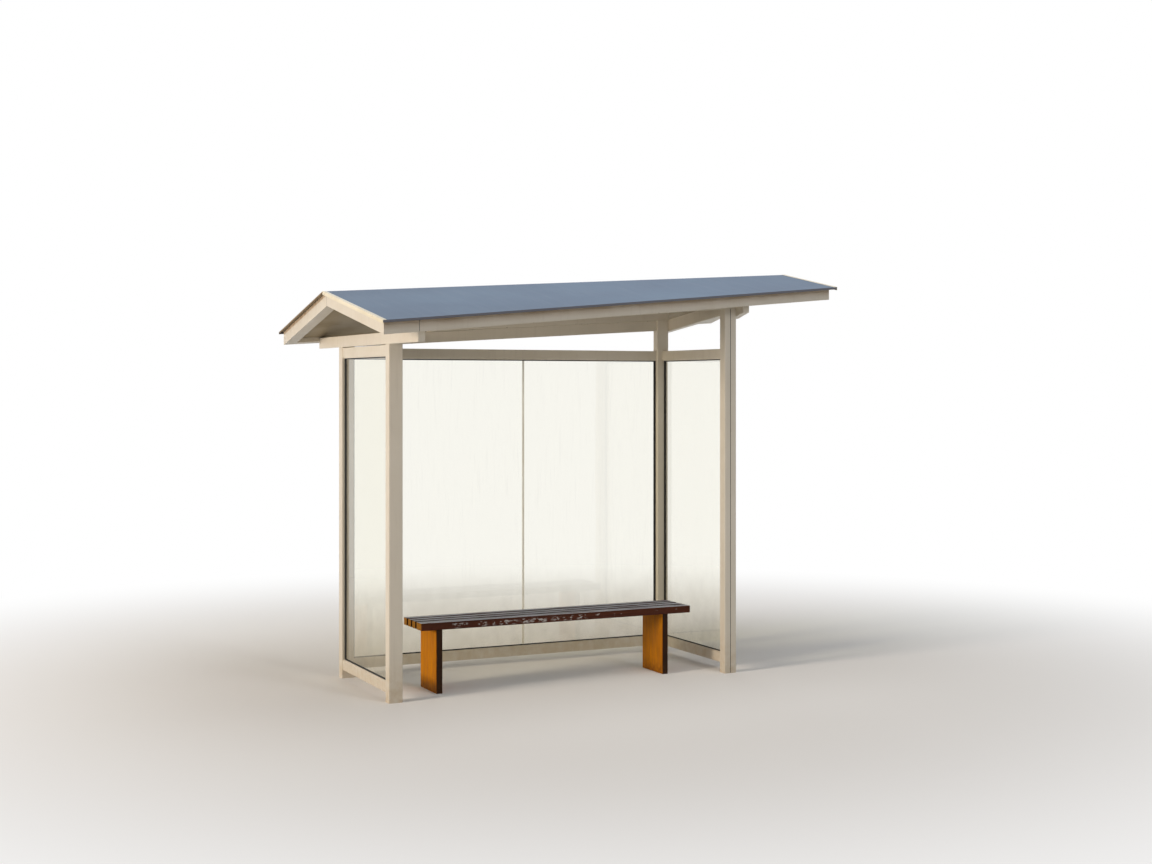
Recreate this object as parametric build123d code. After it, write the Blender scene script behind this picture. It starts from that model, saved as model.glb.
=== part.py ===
from build123d import *
import os

# Bus shelter: four steel posts glazed on three sides, a raking gable roof, a loose timber bench.
# Lengths in mm, +Z up, the front faces -Y. Places are worked out from the middle of the four posts,
# on the ground, and every solid is then moved so that the origin lies under the middle of the roof.

# Posts and the plan of the frame
frame_length = 2604          # outside of the posts, left to right
frame_depth = 1065           # outside of the posts, front to back
post_across = 95
post_deep = 70
post_wall = 4
post_corner = 6              # outer corner radius of the post's tube
seam_width = 5               # groove down the middle of the front right post
seam_depth = 2.5

# Glazed walls
rail_thickness = 45
rail_height = 67
rail_wall = 3
bottom_rail_bottom = 58
glass_setback = 30           # outside of the posts to the middle of the glass
glass_thickness = 8
gasket_width = 20            # across the glass
gasket_height = 14           # seen width, in the plane of the glass
gasket_bite = 9              # how deep the glass stands in the gasket
bead_height = 7              # lips of the rails, each side of the gasket
bead_width = 7
back_joint_x = 99            # where the two back panes meet
joint_strip_width = 14
joint_strip_depth = 14
joint_gap = 2                # web of the strip, between the two panes
rail_under_beam = 4.5        # air between the left top rail and the left cross beam

# Roof: two flat slopes that rise together to the right. The front eave runs oblique in plan.
roof_past_left_posts = 281
roof_past_right_posts = 756
roof_past_back_posts = 542.5
roof_past_front_left_post = 700.5    # at the left verge
roof_past_front_right_post = 158.5   # at the right verge
ridge_height_at_left = 2673
ridge_slope_ratio = 0.0598   # rise over run, to the right
front_slope_ratio = 0.191    # fall over run, to the front
back_slope_ratio = 0.2231
sheet_thickness = 3
eave_lip = 16                # drip edge turned down at the eaves
hem_return = 10              # leaf turned back inwards at the foot of an eave's lip
back_verge_lip = 8           # edge of the back sheet turned down over its barges
trim_height = 22             # bright verge trim of the front slope
trim_flange_width = 26       # leaf of the trim that lies on the sheet
trim_thickness = 2
trim_return = 8
roof_depth = 99              # top of the sheet to the underside of the edge tubes
verge_overhang = 30          # sheet past the barge tubes
front_overhang = 65          # sheet past the front fascia
back_overhang = 22
barge_width = 85
fascia_width = 50
edge_tube_wall = 3
fascia_joint_overlap = 8     # the left fascia's end past the left cross beam
fascia_joint_gap = 2
soffit_recess = 30           # soffit above the underside of the edge tubes
soffit_thickness = 4
soffit_edge_gap = 8          # shadow gap between the soffit and the edge tubes

# Beams that carry the roof
cross_beam_width = 48
cross_beam_height = 78       # also the height of the back beam
beam_wall = 3
soffit_clearance = 5         # least air between a beam and the soffit
front_purlin_depth = 76      # at the right end, under the soffit
back_purlin_length = 1952    # from the outside of the right posts
back_beam_thickness = 45
right_beam_height = 90
right_beam_below_head = 93   # head of the back right post to the beam's underside
right_beam_slope_ratio = 0.115       # rise over run, to the front
outrigger_below_head = 75    # head of the front right post to the outrigger's underside
outrigger_slope_ratio = 0.12
outrigger_end_gap = 55       # its end to the front fascia
outrigger_nose_length = 135  # where its underside turns up more steeply
outrigger_nose_rise = 36

# Bench, standing by itself
bench_end_gap = 284.5        # outside of the posts to the seat's ends, on average
bench_shift_left = 7.5       # middle of the seat to the middle of the posts
bench_behind_posts = 150.5   # outside of the front posts to the seat's front
seat_height = 477
seat_thickness = 50
front_board_width = 95
rear_board_width = 58
board_gap = 24
rear_boards = 3
board_edge = 4               # eased edges of the boards
leg_thickness = 44
left_leg_inset = 113         # seat's end to the outside of the leg
right_leg_inset = 170
leg_setback = 20             # seat's front and back to the leg
leg_edge = 3

# Worked out from the sizes above
roof_left = -frame_length / 2 - roof_past_left_posts
roof_right = frame_length / 2 + roof_past_right_posts
roof_back = frame_depth / 2 + roof_past_back_posts
roof_front_at_left = -frame_depth / 2 - roof_past_front_left_post
roof_front_at_right = -frame_depth / 2 - roof_past_front_right_post
origin_x = (roof_left + roof_right) / 2
origin_y = (roof_back + roof_front_at_left) / 2
post_x = frame_length / 2 - post_across / 2
post_y = frame_depth / 2 - post_deep / 2
inner_x = frame_length / 2 - post_across
inner_y = frame_depth / 2 - post_deep
glass_x = frame_length / 2 - glass_setback
glass_y = frame_depth / 2 - glass_setback
barge_outer_left = roof_left + verge_overhang
barge_inner_left = barge_outer_left + barge_width
barge_outer_right = roof_right - verge_overhang
barge_inner_right = barge_outer_right - barge_width
back_fascia_outer = roof_back - back_overhang
back_fascia_inner = back_fascia_outer - fascia_width
soffit_drop = roof_depth - soffit_recess
left_beam_outer = -frame_length / 2
left_beam_inner = left_beam_outer + cross_beam_width
fascia_joint_x = left_beam_outer - fascia_joint_overlap
bench_length = frame_length - 2 * bench_end_gap
bench_left = -bench_length / 2 - bench_shift_left
bench_right = bench_left + bench_length
bench_front = -frame_depth / 2 + bench_behind_posts
seat_depth = front_board_width + rear_boards * (rear_board_width + board_gap)


def front_edge(x):
    """Y of the front eave at x."""
    share = (x - roof_left) / (roof_right - roof_left)
    return roof_front_at_left + share * (roof_front_at_right - roof_front_at_left)


def fascia_outer(x):
    return front_edge(x) + front_overhang


def fascia_inner(x):
    return fascia_outer(x) + fascia_width


def roof_z(x, y, drop=0):
    """Height of the roof at a place in plan, a given drop below the top of the sheet."""
    ridge = ridge_height_at_left + ridge_slope_ratio * (x - roof_left)
    fall = front_slope_ratio * -y if y < 0 else back_slope_ratio * y
    return ridge - fall - drop


beam_top_at_back = roof_z(left_beam_outer, back_fascia_inner, soffit_drop) - soffit_clearance
beam_top_at_front = roof_z(left_beam_outer, fascia_inner(left_beam_outer), soffit_drop) - soffit_clearance
cross_beam_top = min(beam_top_at_back, beam_top_at_front)
opening_bottom = bottom_rail_bottom + rail_height
opening_top = cross_beam_top - cross_beam_height - rail_under_beam - rail_height


def rake_z(x, drop=0):
    """Height at x of the raking line that lies on top of the left cross beam."""
    return cross_beam_top + ridge_slope_ratio * (x - left_beam_outer) - drop


def front_purlin_bottom(x):
    """Underside of the front purlin, from the left cross beam up to the front right post."""
    right = frame_length / 2
    end = roof_z(right, -frame_depth / 2, soffit_drop) - front_purlin_depth
    share = (x - left_beam_outer) / (right - left_beam_outer)
    return cross_beam_top + share * (end - cross_beam_top)


def slope_prism(plan, drop_top, drop_bottom):
    """Upright prism on one slope of the roof between two drops below the top of the sheet."""
    base = [(x, y, roof_z(x, y, drop_bottom)) for x, y in plan]
    face = Face(Wire.make_polygon(base, close=True))
    return extrude(face, drop_bottom - drop_top, dir=(0, 0, 1))


def upright_prism(plan, z_from, z_to):
    """Upright prism over a plan of (x, y) points."""
    face = Face(Wire.make_polygon([(x, y, z_from) for x, y in plan], close=True))
    return extrude(face, z_to - z_from, dir=(0, 0, 1))


def profile_along_y(points, y_from, y_to):
    """Polygon of (x, z) points run from y_from to y_to."""
    face = Face(Wire.make_polygon([(x, y_from, z) for x, z in points], close=True))
    return extrude(face, y_to - y_from, dir=(0, 1, 0))


def profile_along_x(points, x_from, x_to):
    """Polygon of (y, z) points run from x_from to x_to."""
    face = Face(Wire.make_polygon([(x_from, y, z) for y, z in points], close=True))
    return extrude(face, x_to - x_from, dir=(1, 0, 0))


def box(x_from, x_to, y_from, y_to, z_from, z_to):
    size = (x_to - x_from, y_to - y_from, z_to - z_from)
    corner = Pos(x_from, y_from, z_from)
    return corner * Box(*size, align=(Align.MIN, Align.MIN, Align.MIN))


def save(name, solid):
    """Writes one node, moved to the part's origin."""
    export_step(Pos(-origin_x, -origin_y, 0) * solid, f"parts/{name}.step")


def raked_box(x_from, x_to, y_from, y_to, z_bottom, z_top):
    """Block whose top and bottom follow functions of x, straight between its ends."""
    points = [
        (x_from, z_bottom(x_from)),
        (x_to, z_bottom(x_to)),
        (x_to, z_top(x_to)),
        (x_from, z_top(x_from)),
    ]
    return profile_along_y(points, y_from, y_to)


def below_soffit(solid, front, drop):
    """Keeps what lies a drop or more below the soffit of the front or the back slope."""
    fall = -front_slope_ratio if front else back_slope_ratio
    height = roof_z(roof_left, 0, soffit_drop + drop)
    soffit = Plane(origin=(roof_left, 0, height), z_dir=(-ridge_slope_ratio, fall, 1))
    return split(solid, bisect_by=soffit, keep=Keep.BOTTOM)


def post(x, y, z_top):
    """Rectangular tube, its head cut to the rake."""
    outline = RectangleRounded(post_across, post_deep, post_corner)
    bore = RectangleRounded(post_across - 2 * post_wall, post_deep - 2 * post_wall, post_corner - post_wall)
    high = max(z_top(x - post_across / 2), z_top(x + post_across / 2))
    tube = Pos(x, y, 0) * extrude(outline - bore, high)
    left, right = x - post_across / 2, x + post_across / 2
    keep = raked_box(left, right, y - post_deep / 2, y + post_deep / 2, lambda at: 0, z_top)
    return tube & keep


def rail_profile():
    """Box section with two glazing lips on its upper side, centred on the glass: (across, up) points."""
    half = rail_thickness / 2
    lip_in = gasket_width / 2
    lip_out = lip_in + bead_width
    outer = [(-half, 0), (half, 0), (half, rail_height), (lip_out, rail_height)]
    outer += [(lip_out, rail_height + bead_height), (lip_in, rail_height + bead_height)]
    outer += [(lip_in, rail_height), (-lip_in, rail_height)]
    outer += [(-lip_in, rail_height + bead_height), (-lip_out, rail_height + bead_height)]
    outer += [(-lip_out, rail_height), (-half, rail_height)]
    wall = rail_wall
    inner = [(-half + wall, wall), (half - wall, wall), (half - wall, rail_height - wall)]
    inner += [(-half + wall, rail_height - wall)]
    return outer, inner


def rail(length_axis, glass_at, start, end, z_seat, lips_up):
    """Rail along x or y. z_seat is the height of the face that its gasket stands on."""
    outer, inner = rail_profile()
    turn = 1 if lips_up else -1

    def place(points):
        return [(glass_at + across, z_seat + turn * (up - rail_height)) for across, up in points]

    run = profile_along_y if length_axis == "y" else profile_along_x
    return run(place(outer), start, end) - run(place(inner), start, end)


def glazed_box(axis, glass_at, half_depth, start, end, z_from, z_to):
    """Box in the plane of a glazed wall, half_depth each side of the glass's middle."""
    near, far = glass_at - half_depth, glass_at + half_depth
    if axis == "y":
        return box(near, far, start, end, z_from, z_to)
    return box(start, end, near, far, z_from, z_to)


def pane(axis, glass_at, start, end):
    inset = gasket_height - gasket_bite
    bottom, top = opening_bottom + inset, opening_top - inset
    return glazed_box(axis, glass_at, glass_thickness / 2, start, end, bottom, top)


def gasket(axis, glass_at, start, end, panes):
    """Rubber channel round a glazed opening, cut to the glass that stands in it."""
    half = gasket_width / 2
    near, far = start + gasket_height, end - gasket_height
    bottom, top = opening_bottom + gasket_height, opening_top - gasket_height
    ring = glazed_box(axis, glass_at, half, start, end, opening_bottom, opening_top)
    ring -= glazed_box(axis, glass_at, half, near, far, bottom, top)
    for sheet in panes:
        ring -= sheet
    return ring


def purlin(y_middle, left, bottom, front):
    """Closed box purlin under one slope, from x left to the outside of the right posts."""
    y_from, y_to = y_middle - post_deep / 2, y_middle + post_deep / 2
    right = frame_length / 2
    high = ridge_height_at_left * 2
    tall = raked_box(left, right, y_from, y_to, bottom, lambda x: high)
    wall = beam_wall
    bore = raked_box(
        left + wall, right - wall, y_from + wall, y_to - wall, lambda x: bottom(x) + wall, lambda x: high
    )
    return below_soffit(tall, front, 0) - below_soffit(bore, front, wall)


def barge(outer_x, inner_x_, front):
    """Hollow verge tube from the ridge to an eave, mitred to the fascia."""
    if front:
        ends = (fascia_outer(outer_x), fascia_inner(inner_x_))
        beyond = -fascia_width
    else:
        ends = (back_fascia_outer, back_fascia_inner)
        beyond = fascia_width
    plan = [(outer_x, 0), (inner_x_, 0), (inner_x_, ends[1]), (outer_x, ends[0])]
    tube = slope_prism(plan, sheet_thickness, roof_depth)
    wall = edge_tube_wall if outer_x < inner_x_ else -edge_tube_wall
    bore = [(outer_x + wall, 0), (inner_x_ - wall, 0)]
    bore += [(inner_x_ - wall, ends[1] + beyond), (outer_x + wall, ends[0] + beyond)]
    return tube - slope_prism(bore, sheet_thickness + edge_tube_wall, roof_depth - edge_tube_wall)


def eave_tube(outer, inner, ends_outer, ends_inner):
    """Hollow fascia between two x places on its outer and on its inner face."""
    plan = [(ends_outer[0], outer(ends_outer[0])), (ends_outer[1], outer(ends_outer[1]))]
    plan += [(ends_inner[1], inner(ends_inner[1])), (ends_inner[0], inner(ends_inner[0]))]
    tube = slope_prism(plan, sheet_thickness, roof_depth)
    wall = edge_tube_wall if outer(0) < inner(0) else -edge_tube_wall
    far_left = min(ends_outer[0], ends_inner[0]) - fascia_width
    far_right = max(ends_outer[1], ends_inner[1]) + fascia_width
    bore = [(far_left, outer(far_left) + wall), (far_right, outer(far_right) + wall)]
    bore += [(far_right, inner(far_right) - wall), (far_left, inner(far_left) - wall)]
    return tube - slope_prism(bore, sheet_thickness + edge_tube_wall, roof_depth - edge_tube_wall)


def make_posts():
    def under_left_beam(x):
        return rake_z(x, cross_beam_height)

    post_head = {
        ("left", "front"): under_left_beam,
        ("left", "back"): under_left_beam,
        ("right", "front"): front_purlin_bottom,
        ("right", "back"): rake_z,
    }
    for side, x in (("left", -post_x), ("right", post_x)):
        for end, y in (("front", -post_y), ("back", post_y)):
            tube = post(x, y, post_head[side, end])
            if (side, end) == ("right", "front"):
                half, face = seam_width / 2, y - post_deep / 2
                tube -= box(x - half, x + half, face, face + seam_depth, 0, ridge_height_at_left)
            save(f"{end}_{side}_post", tube)


def make_glazing():
    walls = (
        ("left", "y", -glass_x, -inner_y, inner_y),
        ("right", "y", glass_x, -inner_y, inner_y),
        ("back", "x", glass_y, -inner_x, inner_x),
    )
    edge = gasket_height - gasket_bite
    for name, axis, at, start, end in walls:
        save(f"{name}_top_rail", rail(axis, at, start, end, opening_top, False))
        save(f"{name}_bottom_rail", rail(axis, at, start, end, opening_bottom, True))
        if name == "back":
            splits = (back_joint_x - joint_gap / 2, back_joint_x + joint_gap / 2)
            panes = [pane(axis, at, start + edge, splits[0]), pane(axis, at, splits[1], end - edge)]
            save("back_left_glass", panes[0])
            save("back_right_glass", panes[1])
            half = joint_strip_width / 2
            bottom, top = opening_bottom + gasket_height, opening_top - gasket_height
            strip = glazed_box(
                axis, at, joint_strip_depth / 2, back_joint_x - half, back_joint_x + half, bottom, top
            )
            save("back_glass_joint", strip - panes[0] - panes[1])
        else:
            panes = [pane(axis, at, start + edge, end - edge)]
            save(f"{name}_glass", panes[0])
        save(f"{name}_gasket", gasket(axis, at, start, end, panes))


def make_beams():
    def beam_top(inset):
        return lambda x: rake_z(x, inset)

    def beam_bottom(inset):
        return lambda x: rake_z(x, cross_beam_height - inset)

    def raked_beam(x_range, y_range, inset_x, inset_y):
        inset = max(inset_x, inset_y)
        return raked_box(
            x_range[0] + inset_x, x_range[1] - inset_x, y_range[0] + inset_y, y_range[1] - inset_y,
            beam_bottom(inset), beam_top(inset),
        )

    left, right = left_beam_outer, left_beam_inner
    y_range = (fascia_inner(left) - fascia_width, back_fascia_inner)

    def eave_to_eave(wall):
        plan = [(left, fascia_inner(left) + wall), (right, fascia_inner(right) + wall)]
        plan += [(right, back_fascia_inner - wall), (left, back_fascia_inner - wall)]
        return upright_prism(plan, 0, ridge_height_at_left)

    tube = raked_beam((left, right), y_range, 0, 0) & eave_to_eave(0)
    bore = raked_beam((left, right), y_range, beam_wall, 0) & eave_to_eave(beam_wall)
    save("left_cross_beam", tube - bore)

    half = back_beam_thickness / 2
    x_range, y_range = (left_beam_inner, inner_x), (glass_y - half, glass_y + half)
    save("back_beam", raked_beam(x_range, y_range, 0, 0) - raked_beam(x_range, y_range, 0, beam_wall))
    save("back_purlin", purlin(post_y, frame_length / 2 - back_purlin_length, rake_z, False))
    save("front_purlin", purlin(-post_y, left_beam_outer, front_purlin_bottom, True))

    x_from, x_to = frame_length / 2, frame_length / 2 + cross_beam_width
    y_back, y_join = frame_depth / 2, -inner_y

    def side_beam(underside, top, inset):
        """Beam outside the right posts, over an underside from y_join on, open where the two of them meet."""
        points = [(y, z + inset) for y, z in underside]
        points += [(y, top(y) - inset) for y in (underside[-1][0], y_join)]
        return profile_along_x(points, x_from + inset, x_to - inset)

    def right_bottom(y):
        return rake_z(x_from, right_beam_below_head) + right_beam_slope_ratio * (y_back - y)

    def right_top(y):
        return right_bottom(y) + right_beam_height

    def right_underside(y_end):
        return [(y, right_bottom(y)) for y in (y_join, y_end)]

    bore = side_beam(right_underside(y_back - beam_wall), right_top, beam_wall)
    save("right_cross_beam", side_beam(right_underside(y_back), right_top, 0) - bore)

    def outrigger_bottom(y):
        return front_purlin_bottom(x_from) - outrigger_below_head + outrigger_slope_ratio * (y_join - y)

    def outrigger_top(y):
        return roof_z(x_from, y, soffit_drop + soffit_clearance)

    def outrigger_underside(wall):
        y_end = fascia_inner(x_to) + outrigger_end_gap
        y_nose = y_end + outrigger_nose_length
        nose_tip = outrigger_bottom(y_nose) + outrigger_nose_rise
        end = (y_end + wall, nose_tip - outrigger_nose_rise * wall / outrigger_nose_length)
        return [(y_join, outrigger_bottom(y_join)), (y_nose, outrigger_bottom(y_nose)), end]

    bore = side_beam(outrigger_underside(beam_wall), outrigger_top, beam_wall)
    save("right_outrigger", side_beam(outrigger_underside(0), outrigger_top, 0) - bore)


def make_roof():
    sides = (("left", barge_outer_left, barge_inner_left), ("right", barge_outer_right, barge_inner_right))
    for side, outer_x, inner_x_ in sides:
        save(f"front_{side}_barge", barge(outer_x, inner_x_, True))
        save(f"back_{side}_barge", barge(outer_x, inner_x_, False))

    joint, end = fascia_joint_x, fascia_joint_x - fascia_joint_gap
    save("front_left_fascia", eave_tube(
        fascia_outer, fascia_inner, (barge_outer_left, end), (barge_inner_left, end)
    ))
    save("front_right_fascia", eave_tube(
        fascia_outer, fascia_inner, (joint, barge_outer_right), (joint, barge_inner_right)
    ))
    save("back_fascia", eave_tube(
        lambda x: back_fascia_outer, lambda x: back_fascia_inner,
        (barge_outer_left, barge_outer_right), (barge_inner_left, barge_inner_right),
    ))

    gap = soffit_edge_gap
    left, right = barge_inner_left + gap, barge_inner_right - gap
    soffit_top = soffit_drop - soffit_thickness
    front_plan = [(left, 0), (right, 0), (right, fascia_inner(right) + gap), (left, fascia_inner(left) + gap)]
    back_plan = [(left, 0), (right, 0), (right, back_fascia_inner - gap), (left, back_fascia_inner - gap)]
    save("front_soffit", slope_prism(front_plan, soffit_top, soffit_drop))
    save("back_soffit", slope_prism(back_plan, soffit_top, soffit_drop))

    t = sheet_thickness
    folds = ((t, 0, eave_lip), (hem_return, eave_lip - t, eave_lip))
    left, right = roof_left + t, roof_right - t
    sheet = slope_prism([(left, 0), (right, 0), (right, front_edge(right)), (left, front_edge(left))], 0, t)
    for deep, drop_top, drop_bottom in folds:
        leaf = [(left, front_edge(left)), (right, front_edge(right))]
        leaf += [(right, front_edge(right) + deep), (left, front_edge(left) + deep)]
        sheet += slope_prism(leaf, drop_top, drop_bottom)
    save("front_roof_sheet", sheet)

    left, right = roof_left, roof_right
    sheet = slope_prism([(left, 0), (right, 0), (right, roof_back), (left, roof_back)], 0, t)
    for deep, drop_top, drop_bottom in folds:
        start = roof_back - deep
        leaf = [(left, start), (right, start), (right, roof_back), (left, roof_back)]
        sheet += slope_prism(leaf, drop_top, drop_bottom)
    for near, far in ((left, left + t), (right - t, right)):
        leaf = [(near, 0), (far, 0), (far, roof_back), (near, roof_back)]
        sheet += slope_prism(leaf, 0, back_verge_lip)
    save("back_roof_sheet", sheet)

    def verge_plan(x, inner):
        return [(x, 0), (inner, 0), (inner, front_edge(inner)), (x, front_edge(x))]

    for side, x, inward in (("left", roof_left, 1), ("right", roof_right, -1)):
        leaf = slope_prism(verge_plan(x, x + inward * t), -trim_thickness, trim_height)
        leaf += slope_prism(verge_plan(x, x + inward * trim_flange_width), -trim_thickness, 0)
        foot = verge_plan(x, x + inward * trim_return)
        leaf += slope_prism(foot, trim_height - trim_thickness, trim_height)
        save(f"{side}_verge_trim", leaf)


def make_bench():
    edges = [(bench_front, front_board_width)]
    for index in range(rear_boards):
        start = bench_front + front_board_width + board_gap + index * (rear_board_width + board_gap)
        edges.append((start, rear_board_width))
    for number, (start, width) in enumerate(edges, 1):
        board = box(bench_left, bench_right, start, start + width, seat_height - seat_thickness, seat_height)
        board = chamfer(board.edges().filter_by(Axis.X), board_edge)
        save(f"seat_board_{number}", board)

    y_from, y_to = bench_front + leg_setback, bench_front + seat_depth - leg_setback
    legs = (
        ("left", bench_left + left_leg_inset),
        ("right", bench_right - right_leg_inset - leg_thickness),
    )
    for side, x in legs:
        leg = box(x, x + leg_thickness, y_from, y_to, 0, seat_height - seat_thickness)
        leg = chamfer(leg.edges().filter_by(Axis.Z), leg_edge)
        save(f"{side}_bench_leg", leg)


os.makedirs("parts", exist_ok=True)
make_posts()
make_glazing()
make_beams()
make_roof()
make_bench()
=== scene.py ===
import math

import bmesh
import bpy
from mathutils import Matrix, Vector, noise


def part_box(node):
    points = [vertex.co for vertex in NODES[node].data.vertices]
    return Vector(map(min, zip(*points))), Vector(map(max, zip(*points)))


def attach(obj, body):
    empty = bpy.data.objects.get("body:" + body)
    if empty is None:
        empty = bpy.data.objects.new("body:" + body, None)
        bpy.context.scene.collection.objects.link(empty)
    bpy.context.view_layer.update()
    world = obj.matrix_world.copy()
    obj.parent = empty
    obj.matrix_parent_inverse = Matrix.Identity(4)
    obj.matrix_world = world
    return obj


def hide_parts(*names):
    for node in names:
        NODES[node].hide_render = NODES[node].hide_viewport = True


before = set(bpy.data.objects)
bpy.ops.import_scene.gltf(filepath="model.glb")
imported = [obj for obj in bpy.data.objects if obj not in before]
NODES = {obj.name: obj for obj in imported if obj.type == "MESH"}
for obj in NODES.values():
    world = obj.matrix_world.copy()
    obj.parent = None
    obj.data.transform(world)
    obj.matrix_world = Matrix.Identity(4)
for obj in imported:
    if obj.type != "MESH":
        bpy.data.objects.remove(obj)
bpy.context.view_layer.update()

# The shelter's looks: coated steel tubes, folded roof sheets, glazing in rubber channels and a
# weathered timber bench. Lengths are metres unless a name ends in _mm.

MM = 0.001
LEFT, FRONT, DOWN = (-1, 0, 0), (0, -1, 0), (0, 0, -1)
RIGHT, BACK, UP = (1, 0, 0), (0, 1, 0), (0, 0, 1)
SCENE = bpy.context.scene
SEAT_BOARDS = 4    # numbered from the front

# Camera, light and floor

PHOTO_WIDTH = 1152
FOCAL_PX = 1618
HORIZON_ABOVE_MIDDLE_PX = 47
SENSOR_WIDTH_MM = 36
CAMERA_PLACE = (-4.9725, -10.349, 2.05)
CAMERA_TURN = math.radians(25.73)    # to the right of looking along Y


def node(tree, kind, inputs=None, out=0, **settings):
    """Adds a node with its settings, feeds its inputs with values or outputs, and gives an output."""
    made = tree.nodes.new(kind)
    for name, value in settings.items():
        setattr(made, name, value)
    for key, value in (inputs or {}).items():
        if isinstance(value, bpy.types.NodeSocket):
            tree.links.new(value, made.inputs[key])
        else:
            made.inputs[key].default_value = value
    return made.outputs[out] if len(made.outputs) else None


def linear(hex_colour):
    """An sRGB hex colour as linear red, green, blue and alpha."""
    parts = [int(hex_colour[i:i + 2], 16) / 255 for i in (1, 3, 5)]
    return tuple(p / 12.92 if p <= 0.04045 else ((p + 0.055) / 1.055) ** 2.4 for p in parts) + (1.0,)


def finish(name, describe):
    """A material from a function that gets its empty tree and returns the surface."""
    material = bpy.data.materials.new(name)
    material.use_nodes = True
    tree = material.node_tree
    tree.nodes.clear()
    node(tree, "ShaderNodeOutputMaterial", {"Surface": describe(tree)})
    return material


def set_camera():
    """A level camera at the photograph's viewpoint, its frame shifted down."""
    data = bpy.data.cameras.new("photo_camera")
    data.sensor_width = SENSOR_WIDTH_MM
    data.lens = SENSOR_WIDTH_MM * FOCAL_PX / PHOTO_WIDTH
    data.shift_y = -HORIZON_ABOVE_MIDDLE_PX / PHOTO_WIDTH
    camera = bpy.data.objects.new("photo_camera", data)
    camera.location = CAMERA_PLACE
    camera.rotation_euler = (math.pi / 2, 0, -CAMERA_TURN)
    SCENE.collection.objects.link(camera)
    SCENE.camera = camera


def soft_lamp(name, place, aim, size, watts, colour):
    """A round softbox whose disc shows neither in the glass nor through it."""
    data = bpy.data.lights.new(name, "AREA")
    data.shape = "DISK"
    data.size = size
    data.energy = watts
    data.color = linear(colour)[:3]
    lamp = bpy.data.objects.new(name, data)
    lamp.location = place
    lamp.rotation_euler = (Vector(aim) - Vector(place)).to_track_quat("-Z", "Y").to_euler()
    lamp.visible_glossy = False
    lamp.visible_transmission = False
    SCENE.collection.objects.link(lamp)


def seen_directly(tree):
    """1 for what the camera sees itself, mirrored in gloss or through glass."""
    rays = node(tree, "ShaderNodeLightPath").node.outputs
    seen = rays["Is Camera Ray"]
    for way in ("Is Glossy Ray", "Is Transmission Ray"):
        seen = node(tree, "ShaderNodeMath", {0: seen, 1: rays[way]}, operation="MAXIMUM")
    return seen


def studio_floor(tree):
    """Matt pale paint that fades to white round the shelter, for the camera but not for its light."""
    place = node(tree, "ShaderNodeTexCoord", out="Object")
    reach = node(tree, "ShaderNodeVectorMath", {0: place}, out="Value", operation="LENGTH")
    fade = node(tree, "ShaderNodeMapRange", {"Value": reach, "From Min": 2.2, "From Max": 7.0},
                interpolation_type="SMOOTHSTEP")
    share = node(tree, "ShaderNodeMath", {0: fade, 1: seen_directly(tree)}, operation="MULTIPLY")
    matt = node(tree, "ShaderNodeBsdfDiffuse", {"Color": linear("#E9E6E0"), "Roughness": 0.6})
    glow = node(tree, "ShaderNodeEmission", {"Color": (1, 1, 1, 1), "Strength": 1.0})
    return node(tree, "ShaderNodeMixShader", {0: share, 1: matt, 2: glow})


def set_stage():
    """White surroundings, a plain pale floor that fades into them, and soft lamps."""
    SCENE.view_settings.view_transform = "Standard"
    world = bpy.data.worlds.new("studio")
    SCENE.world = world
    world.use_nodes = True
    tree = world.node_tree
    tree.nodes.clear()
    ambient = node(tree, "ShaderNodeBackground", {"Color": linear("#F1F4FA"), "Strength": 0.29})
    white = node(tree, "ShaderNodeBackground", {"Color": (1, 1, 1, 1), "Strength": 1.0})
    sky = node(tree, "ShaderNodeMixShader", {0: seen_directly(tree), 1: ambient, 2: white})
    node(tree, "ShaderNodeOutputWorld", {"Surface": sky})

    bm = bmesh.new()
    bmesh.ops.create_grid(bm, x_segments=1, y_segments=1, size=60)
    mesh = bpy.data.meshes.new("studio_floor")
    bm.to_mesh(mesh)
    bm.free()
    floor = bpy.data.objects.new("studio_floor", mesh)
    SCENE.collection.objects.link(floor)
    mesh.materials.append(finish("matt_pale_studio_floor", studio_floor))

    soft_lamp("key_left", (-14.0, -2.6, 2.8), (0, 0, 1.3), size=3.3, watts=1240, colour="#FFF1E2")
    soft_lamp("overhead", (0.5, -1.0, 8.5), (0, 0, 1.5), size=5.0, watts=200, colour="#F4F8FF")
    soft_lamp("fill_front", (2.0, -9.5, 5.0), (0, 0, 1.4), size=2.5, watts=120, colour="#F4F6FF")
    soft_lamp("fill_back", (3.0, 9.5, 4.0), (0, 0, 1.4), size=5.0, watts=260, colour="#FFFFFF")


set_camera()
set_stage()

# Materials


def share_along(tree, axis, start, end, first=0.0, last=1.0):
    """A value that goes from first to last between two places along one of the object's axes."""
    place = node(tree, "ShaderNodeTexCoord", out="Object")
    at = node(tree, "ShaderNodeSeparateXYZ", {0: place}, out=axis)
    return node(tree, "ShaderNodeMapRange", {
        "Value": at, "From Min": start, "From Max": end, "To Min": first, "To Max": last})


def pattern(tree, size_mm, stretch=(1, 1, 1), span=(0.35, 0.65), detail=3.0, shift=0.0,
            first=0.0, last=1.0):
    """Soft noise with features size_mm across, stretched along the axes, spread from first to last."""
    place = node(tree, "ShaderNodeTexCoord", out="Object")
    scale = [1 / (size_mm * MM * s) for s in stretch]
    placed = node(tree, "ShaderNodeMapping", {"Vector": place, "Location": (shift,) * 3, "Scale": scale})
    cloud = node(tree, "ShaderNodeTexNoise", {"Vector": placed, "Scale": 1.0, "Detail": detail})
    return node(tree, "ShaderNodeMapRange", {
        "Value": cloud, "From Min": span[0], "From Max": span[1], "To Min": first, "To Max": last})


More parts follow.
